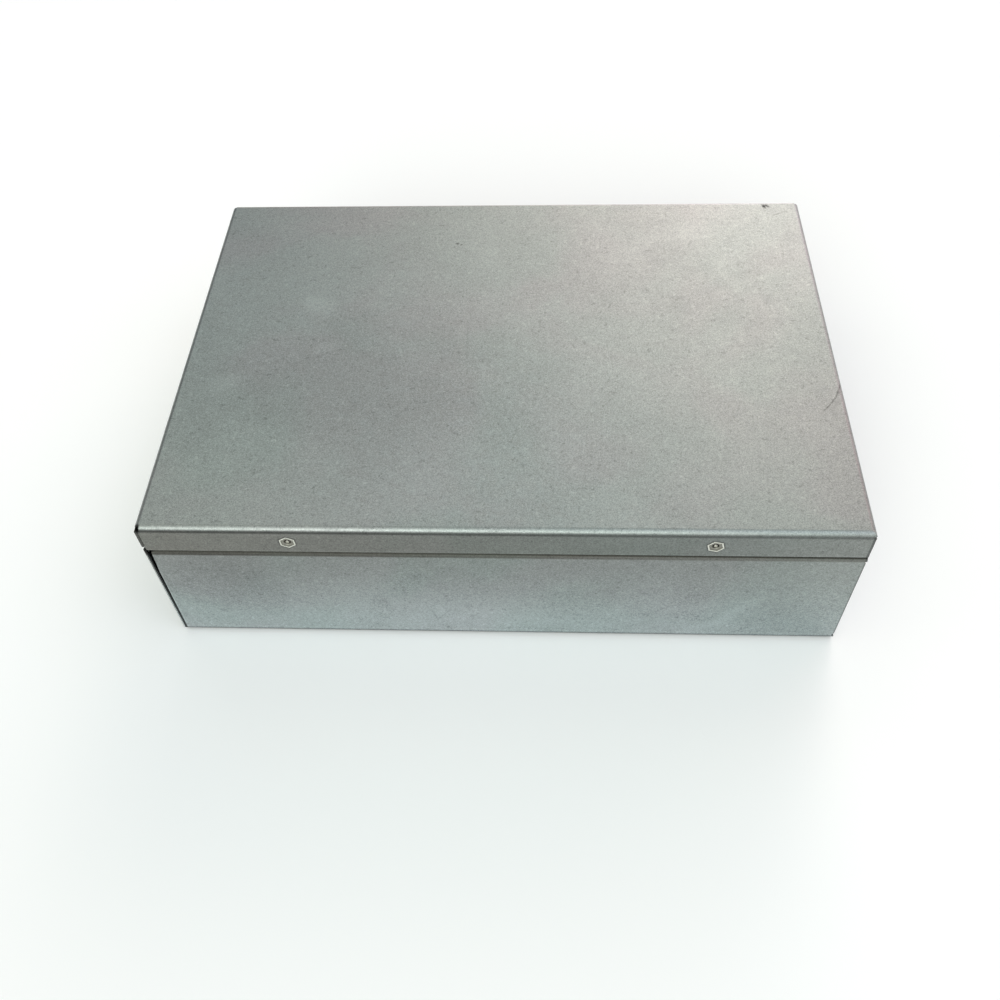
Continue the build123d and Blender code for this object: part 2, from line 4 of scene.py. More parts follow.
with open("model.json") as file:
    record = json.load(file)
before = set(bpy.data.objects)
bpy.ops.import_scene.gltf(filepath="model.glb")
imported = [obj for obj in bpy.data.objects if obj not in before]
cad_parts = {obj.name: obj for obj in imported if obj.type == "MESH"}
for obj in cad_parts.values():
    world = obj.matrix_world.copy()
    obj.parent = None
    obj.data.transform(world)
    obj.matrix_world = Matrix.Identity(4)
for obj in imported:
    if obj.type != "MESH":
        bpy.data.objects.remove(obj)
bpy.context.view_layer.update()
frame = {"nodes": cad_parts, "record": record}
nodes = frame["nodes"]
S = bpy.context.scene


# ---------------------------------------------------------------- node helper
class Graph:
    """Small helper to write shader graphs as expressions."""

    def __init__(self, name):
        self.mat = bpy.data.materials.new(name)
        self.mat.use_nodes = True
        self.nt = self.mat.node_tree
        self.nt.nodes.clear()
        self.out = self.nt.nodes.new("ShaderNodeOutputMaterial")
        self._obj = None

    def node(self, kind, **props):
        n = self.nt.nodes.new(kind)
        for k, v in props.items():
            setattr(n, k, v)
        return n

    def put(self, sock, v):
        if v is None:
            return
        if isinstance(v, bpy.types.NodeSocket):
            self.nt.links.new(v, sock)
        elif isinstance(v, (tuple, list)):
            sock.default_value = tuple(v) if len(v) != 3 or sock.type != "RGBA" else (*v, 1.0)
        else:
            sock.default_value = v

    def obj(self):
        if self._obj is None:
            self._obj = self.node("ShaderNodeTexCoord").outputs["Object"]
        return self._obj

    def normal(self):
        return self.node("ShaderNodeTexCoord").outputs["Normal"]

    def m(self, op, a, b=None, c=None, clamp=False):
        n = self.node("ShaderNodeMath", operation=op, use_clamp=clamp)
        for s, v in zip(n.inputs, (a, b, c)):
            self.put(s, v)
        return n.outputs[0]

    def add(self, a, b): return self.m("ADD", a, b)
    def sub(self, a, b): return self.m("SUBTRACT", a, b)
    def mul(self, a, b): return self.m("MULTIPLY", a, b)
    def mx(self, a, b): return self.m("MAXIMUM", a, b)
    def mn(self, a, b): return self.m("MINIMUM", a, b)

    def vm(self, op, a, b=None, scale=None):
        n = self.node("ShaderNodeVectorMath", operation=op)
        self.put(n.inputs[0], a)
        if b is not None:
            self.put(n.inputs[1], b)
        if scale is not None:
            self.put(n.inputs["Scale"], scale)
        return n.outputs["Value"] if op in ("LENGTH", "DOT_PRODUCT", "DISTANCE") else n.outputs[0]

    def xyz(self, v):
        n = self.node("ShaderNodeSeparateXYZ")
        self.put(n.inputs[0], v)
        return n.outputs

    def vec(self, x, y, z):
        n = self.node("ShaderNodeCombineXYZ")
        for s, v in zip(n.inputs, (x, y, z)):
            self.put(s, v)
        return n.outputs[0]

    def mapped(self, scale=(1, 1, 1), rot=(0, 0, 0), loc=(0, 0, 0), v=None):
        n = self.node("ShaderNodeMapping")
        self.put(n.inputs["Vector"], v or self.obj())
        n.inputs["Location"].default_value = loc
        n.inputs["Rotation"].default_value = rot
        n.inputs["Scale"].default_value = scale
        return n.outputs[0]

    def noise(self, scale, detail=2.0, rough=0.5, dist=0.0, v=None, w=None, color=False):
        n = self.node("ShaderNodeTexNoise")
        if w is not None:
            n.noise_dimensions = "4D"
            n.inputs["W"].default_value = w
        self.put(n.inputs["Vector"], v or self.obj())
        n.inputs["Scale"].default_value = scale
        n.inputs["Detail"].default_value = detail
        n.inputs["Roughness"].default_value = rough
        n.inputs["Distortion"].default_value = dist
        return n.outputs["Color" if color else "Fac"]

    def voronoi(self, scale, v=None, feature="F1", out="Distance", rand=1.0):
        n = self.node("ShaderNodeTexVoronoi", feature=feature)
        self.put(n.inputs["Vector"], v or self.obj())
        n.inputs["Scale"].default_value = scale
        n.inputs["Randomness"].default_value = rand
        return n.outputs[out]

    def ramp(self, fac, stops, interp="LINEAR"):
        n = self.node("ShaderNodeValToRGB")
        r = n.color_ramp
        r.interpolation = interp
        while len(r.elements) > 1:
            r.elements.remove(r.elements[-1])
        for i, (p, c) in enumerate(stops):
            e = r.elements[0] if i == 0 else r.elements.new(p)
            e.position = p
            e.color = (c, c, c, 1) if not isinstance(c, (tuple, list)) else ((*c, 1) if len(c) == 3 else c)
        self.put(n.inputs[0], fac)
        return n.outputs[0]

    def span(self, v, a, b, lo=0.0, hi=1.0, smooth=True):
        n = self.node("ShaderNodeMapRange", interpolation_type="SMOOTHSTEP" if smooth else "LINEAR", clamp=True) if smooth else \
            self.node("ShaderNodeMapRange", clamp=True)
        self.put(n.inputs[0], v)
        for s, x in zip(list(n.inputs)[1:5], (a, b, lo, hi)):
            self.put(s, x)
        return n.outputs[0]

    def mix(self, fac, a, b, blend="MIX"):
        n = self.node("ShaderNodeMix", data_type="RGBA", blend_type=blend)
        self.put(n.inputs[0], fac)
        self.put(n.inputs[6], a)
        self.put(n.inputs[7], b)
        return n.outputs[2]

    def bump(self, height, strength=1.0, distance=0.001, normal=None):
        n = self.node("ShaderNodeBump")
        n.inputs["Strength"].default_value = strength
        n.inputs["Distance"].default_value = distance
        self.put(n.inputs["Height"], height)
        if normal is not None:
            self.put(n.inputs["Normal"], normal)
        return n.outputs[0]

    def principled(self, **kw):
        n = self.node("ShaderNodeBsdfPrincipled")
        for k, v in kw.items():
            self.put(n.inputs[k.replace("_", " ")], v)
        self.nt.links.new(n.outputs[0], self.out.inputs[0])
        return n


# ------------------------------------------------------------------- materials
def blob(g, x, y, cx, cy, rx, ry, ang=0.0, soft=0.6, ragged=None, amount=0.0):
    """Soft ellipse in the coordinates x and y, 1 inside, its rim made ragged by a shared noise."""
    ca, sa = math.cos(ang), math.sin(ang)
    dx, dy = g.sub(x, cx), g.sub(y, cy)
    u = g.add(g.mul(dx, ca / rx), g.mul(dy, sa / rx))
    w_ = g.add(g.mul(dx, -sa / ry), g.mul(dy, ca / ry))
    r = g.m("SQRT", g.add(g.mul(u, u), g.mul(w_, w_)))
    if ragged is not None:
        r = g.add(r, g.mul(ragged, amount))
    return g.span(r, 1.0 - soft, 1.0 + soft * 0.35, 1.0, 0.0)


def galvanised(name, tint, seed=0.0, marks=None):
    g = Graph(name)
    p = g.obj()
    # zinc grain of about 1.5 mm over finer and coarser layers
    off = g.vm("ADD", p, (seed * 0.37 + 3.1, seed * 0.21 - 1.7, seed * 0.13 + 0.9))
    grain = g.noise(1050, 1.0, 0.55, 0.9, v=off)
    fine = g.noise(1800, 1.0, 0.5, 0.4, v=off)
    mott = g.noise(120, 3.0, 0.62, 0.8, v=off)
    blot = g.noise(17, 3.0, 0.55, 0.6, v=off)
    cells = g.voronoi(150, v=g.vm("ADD", off, g.vm("SCALE", g.noise(60, 1.0, 0.5, 0.0, v=off, color=True), scale=0.01)), out="Color")
    cell = g.xyz(cells)[0]
    rolled = g.noise(26, 2.0, 0.6, 0.0, v=g.mapped(scale=(9.0, 0.35, 9.0), v=off))
    terms = ((grain, 0.60), (fine, 0.97), (mott, 0.115), (blot, 0.21), (cell, 0.006), (rolled, 0.03))
    f = 1.0
    for t, k in terms:
        f = g.add(g.mul(g.sub(t, 0.5), k), f)
    # small dull pits and a few bright flecks in the coating
    spots = g.noise(360, 1.0, 0.5, 0.2, v=off)
    pit = g.span(spots, 0.66, 0.72, 0.0, 0.17)
    fleck = g.span(spots, 0.33, 0.27, 0.0, 0.15)
    f = g.add(g.sub(f, pit), fleck)
    # slow drift between a greenish and a pinkish grey
    hue = g.noise(11, 2.0, 0.5, 0.5, v=off)
    green = tuple(c * k for c, k in zip(tint, (0.982, 1.010, 1.0)))
    pink = tuple(c * k for c, k in zip(tint, (1.018, 0.990, 1.002)))
    col = g.mix(g.span(hue, 0.36, 0.64), green, pink)
    rough = g.add(0.43, g.mul(g.sub(g.add(g.mul(grain, 0.5), g.mul(mott, 0.5)), 0.5), -0.30))
    hgt = g.add(g.mul(grain, 0.6), g.mul(fine, 0.4))
    if marks:
        rag = g.sub(g.noise(480, 2.0, 0.6, 0.0, v=off), 0.5)
        f, rough, hgt = marks(g, p, f, rough, hgt, rag)
    shade = g.vec(*f) if isinstance(f, tuple) else g.vec(f, f, f)
    col = g.vm("MULTIPLY", col, shade)
    n1 = g.bump(hgt, 0.30, 0.00008)
    big = g.noise(7, 0.0, 0.4, 0.0, v=off)
    mid = g.noise(38, 1.0, 0.5, 0.0, v=off)
    n2 = g.bump(g.add(big, g.mul(mid, 0.05)), 1.0, 0.0011, n1)
    g.principled(Base_Color=col, Metallic=0.9, Roughness=rough, Normal=n2)
    return g.mat


def scratches(g, v, seed, freq, length, thresh, amount):
    """Fine straight scratches: thin ridges of a stretched noise."""
    out = 0.0
    for k, ang in enumerate((0.35, -0.8, 1.25)):
        n = g.noise(freq, 0.0, 0.5, 0.0, v=g.mapped(scale=(1.0, length, 1.0), rot=(0, 0, ang), loc=(seed + k, 0, 0), v=v))
        line = g.m("ABSOLUTE", g.sub(n, 0.5))
        m = g.span(line, 0.0, 0.006, 1.0, 0.0)
        gate = g.span(g.noise(22, 1.0, 0.5, 0.0, v=g.mapped(loc=(seed, k, 0), v=v)), thresh, thresh + 0.06, 0.0, amount)
        out = g.add(g.mul(m, gate), out)
    return out


# marks on the cover's face, (x, y, rx, ry, angle, change), metres
COVER_MARKS = (
    (-0.1235, 0.0370, 0.0150, 0.0100, -0.45, 0.130), (-0.1138, -0.0031, 0.0110, 0.0055, 0.2, 0.100),
    (-0.1710, -0.0340, 0.0150, 0.0100, 0.3, 0.090), (-0.0846, 0.0355, 0.0090, 0.0070, 0.4, 0.055),
    (-0.1950, 0.0123, 0.0011, 0.0009, 0.0, 0.30), (-0.0358, 0.0980, 0.0016, 0.0013, 0.4, -0.60),
    (-0.0330, 0.0970, 0.0012, 0.0009, 0.9, -0.45), (0.1925, -0.0512, 0.0060, 0.0018, 0.95, -0.07),
    # the broad ellipse at (-0.100, -0.033) with change -0.115 is painted shade, a tone correction rather than a mark
    (-0.1000, -0.0330, 0.1250, 0.0700, 0.0, -0.115), (0.1217, 0.0975, 0.0007, 0.0060, -0.4, -0.12),
    (-0.0241, 0.0010, 0.0009, 0.0165, 0.05, -0.075), (0.1000, 0.0980, 0.0012, 0.0070, 0.05, -0.085),
    (0.0655, 0.0350, 0.0007, 0.0032, -0.45, -0.24), (0.0830, 0.0510, 0.0008, 0.0007, 0.0, -0.30),
    (0.1480, 0.0900, 0.0085, 0.0022, -0.35, 0.050), (0.1080, 0.0420, 0.0060, 0.0028, 0.1, -0.055),
    (0.1193, 0.1092, 0.0260, 0.0150, 0.3, 0.065), (0.1567, 0.0665, 0.0120, 0.0050, 0.2, -0.070),
    (0.1057, 0.0358, 0.0120, 0.0040, 0.2, -0.035), (0.0850, 0.0900, 0.0200, 0.0090, 0.9, 0.030),
    (-0.1900, -0.1335, 0.0020, 0.0010, 0.3, -0.14), (0.0200, -0.0900, 0.0260, 0.0090, 0.2, 0.022),
    (0.1758, 0.1370, 0.0014, 0.0028, 0.5, -0.85), (0.1782, 0.1374, 0.0011, 0.0026, 0.7, -0.75),
    (0.1845, 0.1285, 0.0050, 0.0011, 0.4, -0.20), (0.1895, 0.1305, 0.0035, 0.0010, -0.3, -0.18),
)
# a curved scuff near the right edge, as a chain of short strokes
SCUFF = ((0.1982, -0.0350, 0.0036, 0.0006, 1.24), (0.1958, -0.0406, 0.0046, 0.0007, 1.15),
         (0.1925, -0.0466, 0.0045, 0.0007, 0.97), (0.1881, -0.0521, 0.0048, 0.0006, 0.84))
# marks on the front wall, (x, z, rx, rz, angle, change)
WALL_MARKS = (
    (-0.0662, 0.0405, 0.0170, 0.0040, -1.20, 0.035), (-0.0362, 0.0245, 0.0160, 0.0030, -1.25, 0.040),
    (0.1366, 0.0285, 0.0300, 0.0050, 0.95, 0.110), (0.1137, 0.0088, 0.0150, 0.0040, 0.6, 0.080),
    (-0.1938, 0.0433, 0.0012, 0.0085, 0.10, -0.10), (-0.1450, 0.0815, 0.0110, 0.0010, 0.02, -0.10),
    # the broad ellipses at (-0.166, 0.056) and (0.170, 0.018) are painted shade and the one at (-0.015, 0.016) is
    # painted light, tone corrections rather than marks
    (-0.1660, 0.0560, 0.0450, 0.0360, 0.0, -0.150), (0.1560, 0.0580, 0.0180, 0.0100, 0.5, -0.035),
    (-0.0150, 0.0160, 0.0800, 0.0280, 0.0, 0.080), (0.1700, 0.0180, 0.0500, 0.0300, 0.0, -0.095),
    (0.0300, 0.0600, 0.0240, 0.0090, -0.2, 0.030), (-0.1000, 0.0200, 0.0220, 0.0070, 0.1, 0.030),
    (-0.0408, 0.0210, 0.0007, 0.0072, 0.25, -0.22), (-0.0352, 0.0225, 0.0007, 0.0082, -0.62, -0.22),
    (0.0486, 0.0688, 0.0022, 0.0005, 0.0, -0.13), (-0.0151, 0.0800, 0.0040, 0.0016, 0.3, -0.07),
)
# places where the coating is finely wrinkled, (x, z, rx, rz, angle)
WRINKLES = ((-0.0544, 0.0560, 0.0080, 0.0160, -0.3), (-0.0719, 0.0286, 0.0070, 0.0170, -0.2),
            (-0.0327, 0.0107, 0.0060, 0.0070, 0.0), (0.1090, 0.0443, 0.0120, 0.0120, 0.0),
            (0.1131, 0.0241, 0.0170, 0.0070, 0.0), (0.0825, 0.0233, 0.0110, 0.0060, 0.0),
            (0.0150, 0.0070, 0.0280, 0.0040, 0.0))


def cover_marks(g, p, f, rough, hgt, rag):
    x, y, z = g.xyz(p)
    on_top = g.span(z, 0.1072, 0.1086)
    for cx, cy, rx, ry, ang, k in COVER_MARKS:
        f = g.add(f, g.mul(g.mul(blob(g, x, y, cx, cy, rx, ry, ang, 0.8, rag, 0.9), on_top), k))
    for cx, cy, rx, ry, ang in SCUFF:
        f = g.sub(f, g.mul(g.mul(blob(g, x, y, cx, cy, rx, ry, ang, 0.8, rag, 0.3), on_top), 0.40))
    f = g.add(f, g.mul(scratches(g, p, 31.0, 26, 0.10, 0.54, 0.06), on_top))
    # the folded lips are painted darker than the face, painted shade for their dimmer light, darker and warmer towards
    # the left and painted lighter at the right end; a lighter line along their lower edge
    lip = g.span(z, 0.1045, 0.1080, 1.0, 0.0)
    warm = g.span(x, -0.19, 0.13, 1.0, 0.0, False)
    lit = g.span(x, 0.10, 0.19, 0.0, 0.09)
    f = g.mul(f, g.add(1.0, g.mul(lip, g.add(g.sub(lit, g.mul(warm, 0.040)), -0.345))))
    f = g.add(f, g.span(z, 0.0884, 0.0893, 0.055, 0.0))
    # painted shade on the lower part of each bend, where it turns into the lip, darker towards the left
    ax, ay = g.m("ABSOLUTE", x), g.m("ABSOLUTE", y)
    outer = g.mx(g.span(ay, 0.1404, 0.1412), g.span(ax, 0.1979, 0.1987))
    painted_bend_shade = g.mul(g.span(g.m("ABSOLUTE", g.sub(z, 0.1060)), 0.0004, 0.0018, 1.0, 0.0), outer)
    f = g.mul(f, g.add(1.0, g.mul(painted_bend_shade, g.add(g.mul(x, 0.55), -0.60))))
    # rub marks just under the front bend
    on_front = g.span(y, -0.1412, -0.1400, 1.0, 0.0)
    for cx, cz, rx, rz, ang, k in ((-0.128, 0.1035, 0.020, 0.0007, 0.015, 0.05), (-0.160, 0.1010, 0.012, 0.0006, 0.0, -0.06),
                                   (0.150, 0.1020, 0.016, 0.0006, -0.01, -0.05), (0.010, 0.0945, 0.030, 0.0040, 0.05, 0.02)):
        f = g.add(f, g.mul(g.mul(blob(g, x, z, cx, cz, rx, rz, ang, 0.8, rag, 0.5), on_front), k))
    # painted shade in the corner relief holes, dark cut ends of the left lip
    hole = g.m("SQRT", g.add(g.m("POWER", g.sub(ax, 0.19825), 2.0), g.m("POWER", g.sub(ay, 0.14095), 2.0)))
    relief_hole_shade = g.mul(g.span(hole, 0.0011, 0.0022, 1.0, 0.0), g.span(z, 0.1030, 0.1046))
    closed = g.mul(g.span(x, 0.190, 0.191), g.span(y, -0.131, -0.130, 1.0, 0.0))
    f = g.mul(f, g.add(1.0, g.mul(relief_hole_shade, g.add(g.mul(closed, 0.80), -0.80))))
    # painted shade in the fine groove round each flush nut
    for cx, cz, turn in ((-0.1167, 0.0968, 3.0), (0.1167, 0.0968, 14.0)):
        r = 0.0
        for k in range(3):
            a = math.radians(60 * k + turn)
            r = g.mx(g.m("ABSOLUTE", g.add(g.mul(g.sub(x, cx), math.cos(a)), g.mul(g.sub(z, cz), math.sin(a)))), r)
        ring = g.mul(g.span(r, 0.0044, 0.0055, 1.0, 0.0), on_front)
        f = g.mul(f, g.add(1.0, g.mul(ring, -0.36)))
    f = g.mul(f, g.add(1.0, g.mul(g.mul(g.span(ax, 0.1979, 0.1984), g.span(ay, 0.14236, 0.14246)), -0.48)))
    rough = g.add(rough, g.mul(lip, 0.03))
    # warm tint of the painted lip shade, stronger towards the left
    warm = g.mul(lip, warm)
    return (f, g.mul(f, g.add(1.0, g.mul(warm, -0.055))), g.mul(f, g.add(1.0, g.add(g.mul(lip, -0.02), g.mul(warm, -0.10))))), rough, hgt


def body_marks(g, p, f, rough, hgt, rag):
    x, y, z = g.xyz(p)
    ax, ay = g.m("ABSOLUTE", x), g.m("ABSOLUTE", y)
    on_front = g.span(y, -0.1412, -0.1400, 1.0, 0.0)
    for cx, cz, rx, rz, ang, k in WALL_MARKS:
        f = g.add(f, g.mul(g.mul(blob(g, x, z, cx, cz, rx, rz, ang, 0.8, rag, 0.8), on_front), k))
    f = g.add(f, g.mul(scratches(g, g.vec(x, z, y), 41.0, 26, 0.10, 0.55, 0.06), on_front))
    # finely wrinkled patches: dark broken lines
    wr = g.noise(330, 1.0, 0.5, 1.4, v=g.vm("ADD", p, (1.7, 0.4, 2.2)))
    wr = g.span(g.m("ABSOLUTE", g.sub(wr, 0.5)), 0.012, 0.060, 1.0, 0.0)
    gate = 0.0
    for cx, cz, rx, rz, ang in WRINKLES:
        gate = g.mx(blob(g, x, z, cx, cz, rx, rz, ang, 0.7, rag, 0.6), gate)
    f = g.sub(f, g.mul(g.mul(g.mul(wr, gate), on_front), 0.24))
    # painted light: the outer walls are lighter and cooler towards the foot
    outer = g.mx(g.span(ay, 0.1400, 0.1412), g.span(ax, 0.1975, 0.1987))
    drift = g.mul(g.sub(g.noise(14, 2.0, 0.55, 0.4), 0.5), 0.02)
    low = g.mul(g.span(g.add(z, drift), 0.006, 0.088, 1.0, 0.0), outer)
    f = g.mul(f, g.add(1.0, g.mul(low, PAINTED_FOOT_LIGHT)))
    rough = g.add(rough, g.mul(low, 0.03))
    # painted highlight along the edge beside the open left seam, with a fainter dark line next to it
    d = g.sub(x, g.add(g.mul(z, 0.0165), -0.1980))
    f = g.add(f, g.mul(g.span(d, 0.0002, 0.0009, 0.09, 0.0), on_front))
    f = g.sub(f, g.mul(g.span(g.m("ABSOLUTE", g.sub(d, 0.0032)), 0.0002, 0.0009, 0.05, 0.0), on_front))
    # painted shade in the seam under the cover, on the body's top bend; a painted dark line at the foot with a painted
    # light line above it; painted shade in the open left corner
    painted_seam_shade = g.add(g.mul(g.span(z, 0.0826, 0.0842), g.span(x, -0.16, 0.16, 0.68, 0.38, False)),
                 g.mul(g.span(z, 0.0850, 0.0859), g.span(x, -0.16, 0.16, 0.20, 0.50, False)))
    seam = g.mul(painted_seam_shade, g.span(ay, 0.1396, 0.1406))
    foot = g.mul(g.span(z, 0.0026, 0.0039, 0.74, 0.0), outer)
    line = g.mul(g.span(g.m("ABSOLUTE", g.sub(z, 0.0056)), 0.0004, 0.0014, 0.08, 0.0), outer)
    f = g.mul(f, g.sub(g.sub(g.add(1.0, line), seam), foot))
    # painted shade on the side wall's inner face, seen through the open left corner
    corner = g.mul(g.mul(g.span(x, -0.1962, -0.1945, 1.0, 0.0), g.span(x, -0.1992, -0.1987)),
                   g.mul(g.span(y, -0.1375, -0.1335, 1.0, 0.0), g.span(y, -0.14205, -0.1417)))
    f = g.mul(f, g.add(1.0, g.mul(corner, -0.92)))
    # cut end of the left side wall painted dark, painted shade of the open seam, with a lighter burr line along it
    cut = g.mul(g.span(x, -0.1984, -0.1979, 1.0, 0.0), g.span(y, -0.14246, -0.14236, 1.0, 0.0))
    burr = g.span(g.m("ABSOLUTE", g.add(x, 0.19962)), 0.00012, 0.00032, 1.25, 0.0)
    f = g.mul(f, g.add(1.0, g.mul(cut, g.add(burr, -0.93))))
    # painted shade: a thin dark line down the right end of the front wall
    end = g.mul(g.span(x, 0.1985, 0.1993, 0.0, 0.38), on_front)
    f = g.mul(f, g.sub(1.0, end))
    warm = g.mn(g.mul(seam, 1.3), 1.0)
    return (g.mul(f, g.add(1.0, g.mul(low, -0.035))), g.mul(f, g.add(1.0, g.mul(warm, -0.07))),
            g.mul(f, g.add(1.0, g.add(g.mul(low, 0.040), g.mul(warm, -0.16))))), rough, hgt


# strength of the painted light towards the foot of the outer walls
PAINTED_FOOT_LIGHT = 0.50


def plated(name, tint, rough=0.32, metallic=1.0, scale=900, lines=None, dull=None):
    """Electro-plated metal: fine speckle, soft stains, optional drawn lines."""
    g = Graph(name)
    n = g.noise(scale, 3.0, 0.6, 0.5)
    s = g.noise(170, 3.0, 0.6, 0.3)
    f = g.add(g.mul(n, 0.45), g.mul(s, 0.55))
    if lines:
        f = g.add(g.mul(f, 0.6), g.mul(g.noise(lines[1], 2.0, 0.6, 0.0, v=g.mapped(scale=lines[0])), 0.4))
    col = g.ramp(f, [(0.28, tuple(c * 0.66 for c in tint)), (0.5, tuple(c * 0.92 for c in tint)), (0.74, tuple(min(1, c * 1.12) for c in tint))])
    r = g.span(f, 0.3, 0.7, rough + 0.12, rough - 0.05)
    g.principled(Base_Color=col, Metallic=metallic, Roughness=r, Normal=g.bump(g.add(g.mul(n, 0.7), g.mul(f, 0.3)), 0.25, 0.00005))
    return g.mat


def flush_nut():
    """Pressed hexagon: bright rubbed rim, dull inner face, thread painted dark as shade in the bore."""
    g = Graph("flush_nut")
    p = g.obj()
    x, y, z = g.xyz(p)
    n = g.noise(2600, 3.0, 0.6, 0.4)
    s = g.noise(700, 3.0, 0.6, 0.4, w=3.0)
    rim = g.span(y, -0.14252, -0.14236, 1.0, 0.0)
    deep = g.span(y, -0.14222, -0.14195)
    inner = g.ramp(s, [(0.3, (0.24, 0.235, 0.205)), (0.7, (0.35, 0.34, 0.30))])
    bright = g.ramp(n, [(0.3, (0.67, 0.665, 0.60)), (0.7, (0.85, 0.84, 0.76))])
    dark = g.ramp(n, [(0.3, (0.17, 0.163, 0.135)), (0.7, (0.24, 0.23, 0.195))])
    col = g.mix(rim, g.mix(deep, inner, dark), bright)
    r = g.span(rim, 0.0, 1.0, 0.55, 0.34)
    g.principled(Base_Color=col, Metallic=1.0, Roughness=g.add(r, g.mul(g.sub(n, 0.5), 0.1)), Normal=g.bump(n, 0.3, 0.00004))
    return g.mat


def leaf_screw():
    """Zinc-plated screw; its end is rubbed bright, its thread flanks are painted near black as shade in the bore."""
    g = Graph("leaf_screw")
    x, y, z = g.xyz(g.obj())
    n = g.noise(1500, 3.0, 0.6, 0.4)
    tip = g.span(y, -0.14214, -0.14200, 1.0, 0.0)
    flank = g.mul(g.span(y, -0.14212, -0.14198), g.span(y, -0.1400, -0.1396, 1.0, 0.0))
    plate_ = g.ramp(n, [(0.3, (0.52, 0.53, 0.54)), (0.7, (0.76, 0.78, 0.80))])
    col = g.mix(flank, plate_, (0.06, 0.056, 0.05))
    col = g.mix(tip, col, (0.50, 0.48, 0.41))
    g.principled(Base_Color=col, Metallic=1.0, Roughness=g.span(n, 0.3, 0.7, 0.42, 0.28), Normal=g.bump(n, 0.3, 0.00005))
    return g.mat


def passivated():
    """Rolled rail: yellow passivation drifting through green and violet."""
    g = Graph("rail_passivated")
    roll = g.noise(30, 3.0, 0.6, 0.0, v=g.mapped(scale=(0.25, 22.0, 22.0)))
    drift = g.noise(24, 3.0, 0.6, 1.2)
    n = g.noise(1100, 3.0, 0.6, 0.4)
    f = g.add(g.mul(drift, 0.75), g.mul(roll, 0.25))
    col = g.ramp(f, [(0.28, (0.52, 0.50, 0.40)), (0.44, (0.66, 0.60, 0.36)), (0.56, (0.72, 0.62, 0.33)), (0.66, (0.64, 0.58, 0.44)), (0.78, (0.52, 0.55, 0.50))])
    sp = g.add(0.84, g.mul(n, 0.32))
    col = g.vm("MULTIPLY", col, g.vec(sp, sp, sp))
    g.principled(Base_Color=col, Metallic=1.0, Roughness=g.add(0.26, g.mul(roll, 0.24)), Normal=g.bump(g.add(roll, g.mul(n, 0.4)), 0.25, 0.00005))
    return g.mat


def plastic(name, tint, rough=0.45, tint2=None, split=None, dust=0.10):
    """Moulded polyamide: fine texture, soft tone drift, a little dust."""
    g = Graph(name)
    x, y, z = g.xyz(g.obj())
    n = g.noise(2200, 2.0, 0.5, 0.0)
    s = g.noise(70, 3.0, 0.6, 0.3)
    a = g.ramp(s, [(0.3, tuple(c * 0.88 for c in tint)), (0.7, tuple(min(1, c * 1.07) for c in tint))])
    if tint2:
        b_ = g.ramp(s, [(0.3, tuple(c * 0.88 for c in tint2)), (0.7, tuple(min(1, c * 1.07) for c in tint2))])
        a = g.mix(split(g, x, y, z), a, b_)
    d = g.mul(g.span(g.noise(420, 3.0, 0.65, 0.4, w=5.0), 0.52, 0.72), dust)
    col = g.mix(d, a, (0.55, 0.54, 0.50))
    r = g.add(g.span(n, 0.3, 0.7, rough + 0.09, rough - 0.05), g.mul(d, 0.6))
    g.principled(Base_Color=col, Metallic=0.0, Roughness=r, Normal=g.bump(n, 0.35, 0.00004))
    return g.mat


def earth_split(g, x, y, z):
    # each terminal is yellow on one half of its thickness, green on the other
    t = g.m("FRACT", g.mul(g.sub(x, 0.0267), 1 / 0.0062))
    return g.span(t, 0.49, 0.51)


COVER_TINT = (0.318, 0.339, 0.330)
BODY_TINT = (0.263, 0.281, 0.272)
MAT = {
    "galvanised_sheet": galvanised("galvanised_sheet", BODY_TINT, 0.0, body_marks),
    "galvanised_cover": galvanised("galvanised_cover", COVER_TINT, 20.0, cover_marks),
    "zinc_hardware": plated("zinc_hardware", (0.68, 0.71, 0.74), 0.30),
    "hinge_steel": plated("hinge_steel", (0.56, 0.57, 0.57), 0.38, lines=((0.3, 30.0, 30.0), 40)),
    "rail_steel": passivated(),
    "brass_stud": plated("brass_stud", (0.76, 0.58, 0.27), 0.28),
    "terminal_grey": plastic("terminal_grey", (0.36, 0.37, 0.365)),
    "terminal_green_yellow": plastic("terminal_green_yellow", (0.05, 0.26, 0.06), tint2=(0.74, 0.60, 0.05), split=earth_split),
    "marker_white": plastic("marker_white", (0.78, 0.78, 0.75), 0.4, dust=0.05),
}
slot_of = {s["node"]: s["material_slot"] for s in frame["record"]["subparts"]}
OWN = {"hinge_flush_nuts": flush_nut(), "hinge_leaf_screws": leaf_screw()}
for name, o in nodes.items():
    o.data.materials.clear()
    o.data.materials.append(OWN.get(name) or MAT[slot_of[name]])

# --------------------------------------------------------------------- camera
F, CX, CY = 1014.2, 490.8, 476.7
el, yaw, roll = (math.radians(a) for a in (51.491, 4.727, -3.333))
ce, se = math.cos(el), math.sin(el)
R0 = Matrix(((1, 0, 0), (0, -se, -ce), (0, ce, -se)))
Rw = Matrix(((math.cos(yaw), math.sin(yaw), 0), (-math.sin(yaw), math.cos(yaw), 0), (0, 0, 1)))
Rr = Matrix(((math.cos(roll), -math.sin(roll), 0), (math.sin(roll), math.cos(roll), 0), (0, 0, 1)))
R = Rr @ R0 @ Rw
right, up, back = R[0], -R[1], -R[2]
cam_data = bpy.data.cameras.new("camera")
cam = bpy.data.objects.new("camera", cam_data)
S.collection.objects.link(cam)
m3 = Matrix((right, up, back)).transposed()
cam.matrix_world = Matrix.Translation(Vector((0.0587, -1.1402, 1.3792)) * 0.4) @ m3.to_4x4()
cam_data.sensor_width = 36.0
cam_data.lens = F / 1000 * 36.0
cam_data.shift_x = (500 - CX) / 1000
cam_data.shift_y = (CY - 500) / 1000
